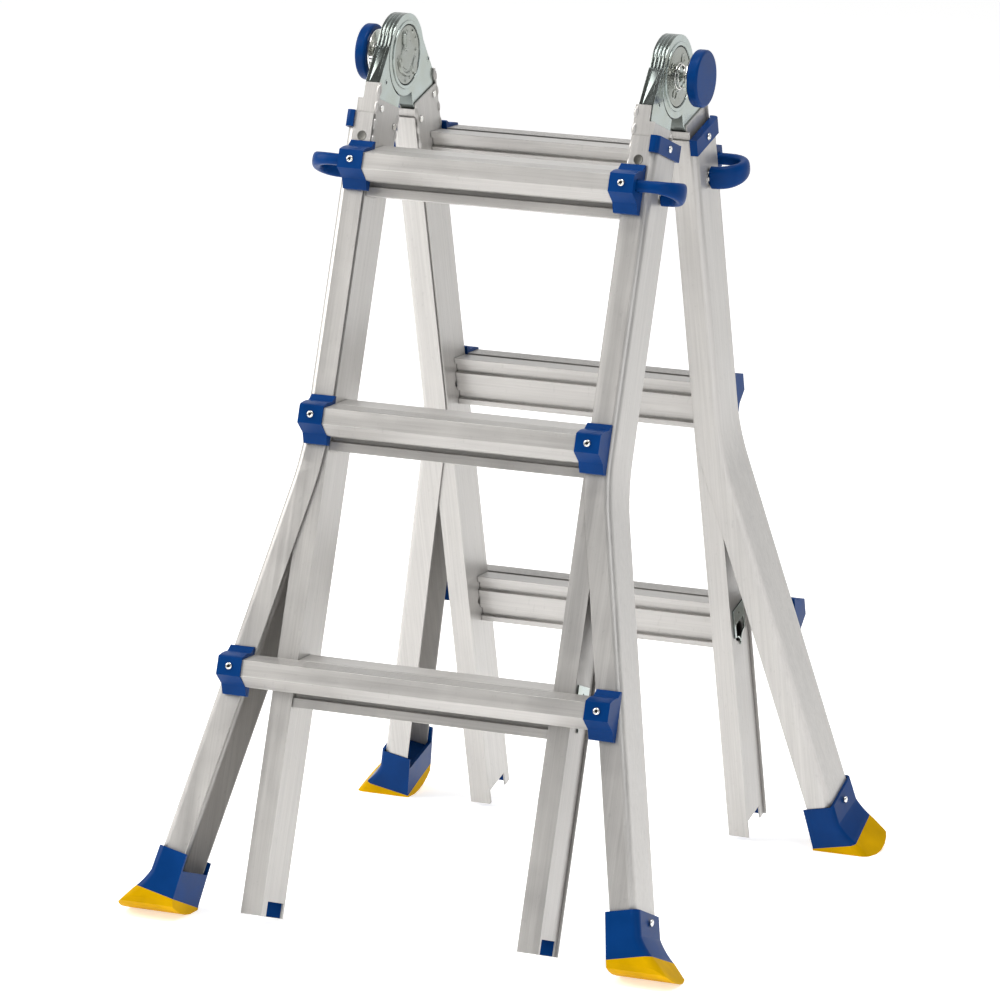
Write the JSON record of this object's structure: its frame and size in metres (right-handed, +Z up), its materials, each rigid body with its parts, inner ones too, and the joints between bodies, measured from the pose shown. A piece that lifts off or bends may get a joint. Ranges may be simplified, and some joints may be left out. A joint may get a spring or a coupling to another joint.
{
  "type": "multi position ladder",
  "caption": "Telescoping multi position ladder standing as an A-frame: two flared sections with locking hinges, lock handles and anti-slip feet.",
  "frame": {"origin": "on the floor, midway between the four feet", "axes": "+X along the rungs, -Y towards the front section, +Z up, with the ladder standing open as an A-frame and both outer sections fully in"},
  "size_m": [0.7066, 0.7544, 1.0455],
  "materials": {
    "aluminium": "mill finish extrusion",
    "zinc_steel": "bright zinc plating",
    "bright_steel": "bright plated",
    "blue_plastic": "semi-gloss moulded",
    "yellow_rubber": "matte moulded"
  },
  "bodies": {
    "front_inner_section": {"front_inner_rail_left": "aluminium", "front_hinge_half_left": "zinc_steel", "front_inner_rail_right": "aluminium", "front_hinge_half_right": "zinc_steel", "front_inner_rung_top": "aluminium", "front_inner_rung_middle": "aluminium", "front_inner_rung_bottom": "aluminium", "front_lock_plates": "zinc_steel", "front_rail_plugs": "blue_plastic", "front_hinge_rivets": "aluminium", "pivot_sleeves": "zinc_steel"},
    "front_outer_section": {"front_outer_rail_left": "aluminium", "front_lock_bracket_left": "blue_plastic", "front_outer_rail_right": "aluminium", "front_lock_bracket_right": "blue_plastic", "front_outer_rung_top": "aluminium", "front_outer_rung_middle": "aluminium", "front_outer_rung_bottom": "aluminium", "front_rung_brackets": "blue_plastic", "front_bracket_rivets": "bright_steel", "front_rail_caps": "blue_plastic", "front_foot_boots": "blue_plastic", "front_foot_pads": "yellow_rubber", "front_web_rivets": "bright_steel"},
    "front_lock_left": {"front_lock_handle_left": "blue_plastic", "front_lock_pin_left": "bright_steel"},
    "front_lock_right": {"front_lock_handle_right": "blue_plastic", "front_lock_pin_right": "bright_steel"},
    "rear_inner_section": {"rear_inner_rail_left": "aluminium", "rear_hinge_half_left": "zinc_steel", "rear_inner_rail_right": "aluminium", "rear_hinge_half_right": "zinc_steel", "rear_inner_rung_top": "aluminium", "rear_inner_rung_middle": "aluminium", "rear_inner_rung_bottom": "aluminium", "rear_lock_plates": "zinc_steel", "rear_rail_plugs": "blue_plastic", "rear_hinge_rivets": "aluminium"},
    "rear_outer_section": {"rear_outer_rail_left": "aluminium", "rear_lock_bracket_left": "blue_plastic", "rear_outer_rail_right": "aluminium", "rear_lock_bracket_right": "blue_plastic", "rear_outer_rung_top": "aluminium", "rear_outer_rung_middle": "aluminium", "rear_outer_rung_bottom": "aluminium", "rear_rung_brackets": "blue_plastic", "rear_bracket_rivets": "bright_steel", "rear_rail_caps": "blue_plastic", "rear_foot_boots": "blue_plastic", "rear_foot_pads": "yellow_rubber", "rear_web_rivets": "bright_steel"},
    "rear_lock_left": {"rear_lock_handle_left": "blue_plastic", "rear_lock_pin_left": "bright_steel"},
    "rear_lock_right": {"rear_lock_handle_right": "blue_plastic", "rear_lock_pin_right": "bright_steel"},
    "knob_left": {"hinge_knob_left": "blue_plastic", "knob_stem_left": "bright_steel"},
    "knob_right": {"hinge_knob_right": "blue_plastic", "knob_stem_right": "bright_steel"}
  },
  "joints": [
    {"name": "hinge_fold", "type": "hinge", "parent": "front_inner_section", "child": "rear_inner_section", "pos_m": [0, 0, 0.996], "axis": [1, 0, 0], "range_deg": [-34, 145.8]},
    {"name": "front_extend", "type": "slide", "parent": "front_inner_section", "child": "front_outer_section", "axis": [0, -0.294, -0.9558], "range_m": [0, 0.6096]},
    {"name": "front_lock_left_pull", "type": "slide", "parent": "front_outer_section", "child": "front_lock_left", "axis": [-1, 0, 0], "range_m": [0, 0.025], "stiffness_N_per_m": 300},
    {"name": "front_lock_right_pull", "type": "slide", "parent": "front_outer_section", "child": "front_lock_right", "axis": [1, 0, 0], "range_m": [0, 0.025], "stiffness_N_per_m": 300},
    {"name": "rear_extend", "type": "slide", "parent": "rear_inner_section", "child": "rear_outer_section", "axis": [0, 0.294, -0.9558], "range_m": [0, 0.6096]},
    {"name": "rear_lock_left_pull", "type": "slide", "parent": "rear_outer_section", "child": "rear_lock_left", "axis": [1, 0, 0], "range_m": [0, 0.025], "stiffness_N_per_m": 300},
    {"name": "rear_lock_right_pull", "type": "slide", "parent": "rear_outer_section", "child": "rear_lock_right", "axis": [-1, 0, 0], "range_m": [0, 0.025], "stiffness_N_per_m": 300},
    {"name": "knob_left_push", "type": "slide", "parent": "front_inner_section", "child": "knob_left", "axis": [1, 0, 0], "range_m": [0, 0.015], "stiffness_N_per_m": 400},
    {"name": "knob_right_push", "type": "slide", "parent": "front_inner_section", "child": "knob_right", "axis": [-1, 0, 0], "range_m": [0, 0.015], "stiffness_N_per_m": 400}
  ]
}
